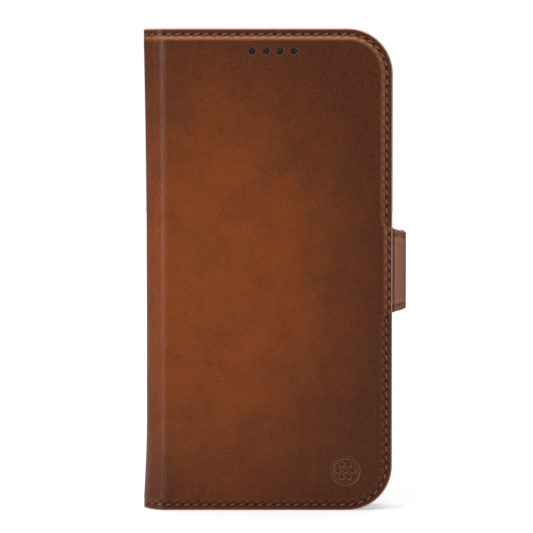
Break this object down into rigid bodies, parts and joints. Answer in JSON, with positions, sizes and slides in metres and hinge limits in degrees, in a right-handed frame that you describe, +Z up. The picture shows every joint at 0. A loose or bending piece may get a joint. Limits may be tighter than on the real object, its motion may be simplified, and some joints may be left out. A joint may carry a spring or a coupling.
{
  "type": "phone wallet case",
  "caption": "Folio wallet case for a large phone: padded leather cover, rounded spine, card and note pockets, gripping phone shell and a wrap-round magnetic strap.",
  "frame": {"origin": "centre of the bounding box at the bottom edge that the shut case stands on, with the tongue loose", "axes": "+X from the spine to the strap, +Y from the front cover to the back, +Z up along the spine"},
  "size_m": [0.0908, 0.0558, 0.168],
  "materials": {
    "leather": "burnished full-grain, satin",
    "lining_leather": "smooth, matt",
    "thread": "waxed brown thread",
    "board": "grey-brown board",
    "padding": "dense foam on board",
    "steel": "stamped sheet",
    "magnet": "nickel plated",
    "shell": "soft-touch, matt",
    "felt": "microfibre",
    "mesh": "woven mesh"
  },
  "bodies": {
    "back": {"back_leather": "leather", "back_board": "board", "back_lining": "lining_leather", "back_thread": "thread", "keeper_plate": "steel", "phone_shell": "shell", "shell_felt": "felt"},
    "spine": {"spine_leather": "leather", "spine_lining": "lining_leather", "spine_thread": "thread"},
    "cover": {"front_leather": "leather", "front_padding": "padding", "front_lining": "lining_leather", "front_thread": "thread", "earpiece_mesh": "mesh", "cash_pocket": "lining_leather", "card_pocket_top": "leather", "card_pocket_middle": "leather", "card_pocket_bottom": "leather", "pocket_thread": "thread", "strap_anchor": "leather"},
    "strap": {"strap_leather": "leather", "strap_lining": "lining_leather", "strap_thread": "thread"},
    "tongue": {"tongue_leather": "leather", "tongue_lining": "lining_leather", "tongue_thread": "thread", "tongue_magnet": "magnet"}
  },
  "joints": [
    {"name": "spine_fold", "type": "hinge", "parent": "back", "child": "spine", "pos_m": [-0.04045, -0.00747, 0], "axis": [0, 0, -1], "range_deg": [0, 180]},
    {"name": "cover_fold", "type": "hinge", "parent": "spine", "child": "cover", "pos_m": [-0.04045, -0.02697, 0], "axis": [0, 0, -1], "range_deg": [0, 180]},
    {"name": "strap_fold", "type": "hinge", "parent": "cover", "child": "strap", "pos_m": [0.04455, -0.02622, 0.084], "axis": [0, 0, -1], "range_deg": [0, 95]},
    {"name": "tongue_fold", "type": "hinge", "parent": "strap", "child": "tongue", "pos_m": [0.04455, -0.00547, 0.084], "axis": [0, 0, 1], "range_deg": [0, 77]}
  ]
}
